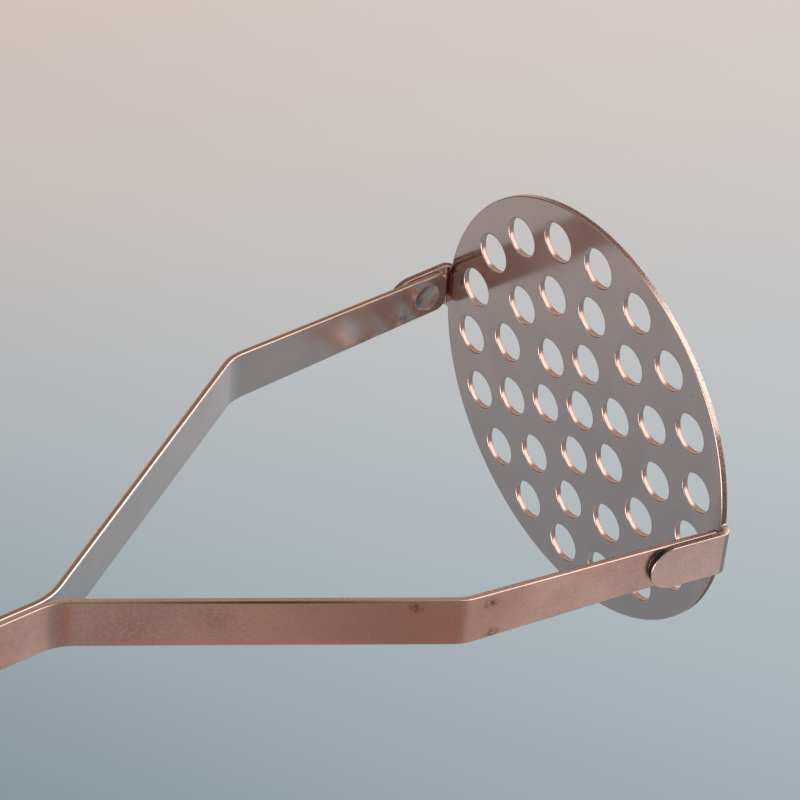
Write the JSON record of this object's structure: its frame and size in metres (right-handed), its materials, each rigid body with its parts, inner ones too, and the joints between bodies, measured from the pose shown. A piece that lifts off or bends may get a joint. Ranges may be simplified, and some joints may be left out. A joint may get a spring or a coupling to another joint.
{
  "type": "potato masher",
  "caption": "Round perforated mashing plate on a forked frame of two bent flat straps, with a riveted wooden handle that has a lined hanging hole.",
  "frame": {"origin": "middle of the mashing plate's underside", "axes": "+Z from the plate up to the handle, X through the plate's two ears, Y across the straps' width"},
  "size_m": [0.0892, 0.085, 0.252],
  "materials": {
    "plate_steel": "semi-bright rolled sheet",
    "strap_steel": "satin rose-tinted steel",
    "rivet_steel": "polished",
    "handle_wood": "oiled hardwood"
  },
  "bodies": {
    "root": {"mash_plate": "plate_steel", "right_strap": "strap_steel", "left_strap": "strap_steel", "right_scale": "handle_wood", "left_scale": "handle_wood", "rivet_post_1": "rivet_steel", "rivet_post_2": "rivet_steel", "rivet_post_3": "rivet_steel", "rivet_cap_1": "rivet_steel", "rivet_cap_2": "rivet_steel", "rivet_cap_3": "rivet_steel", "hang_eyelet": "rivet_steel"}
  },
  "joints": []
}
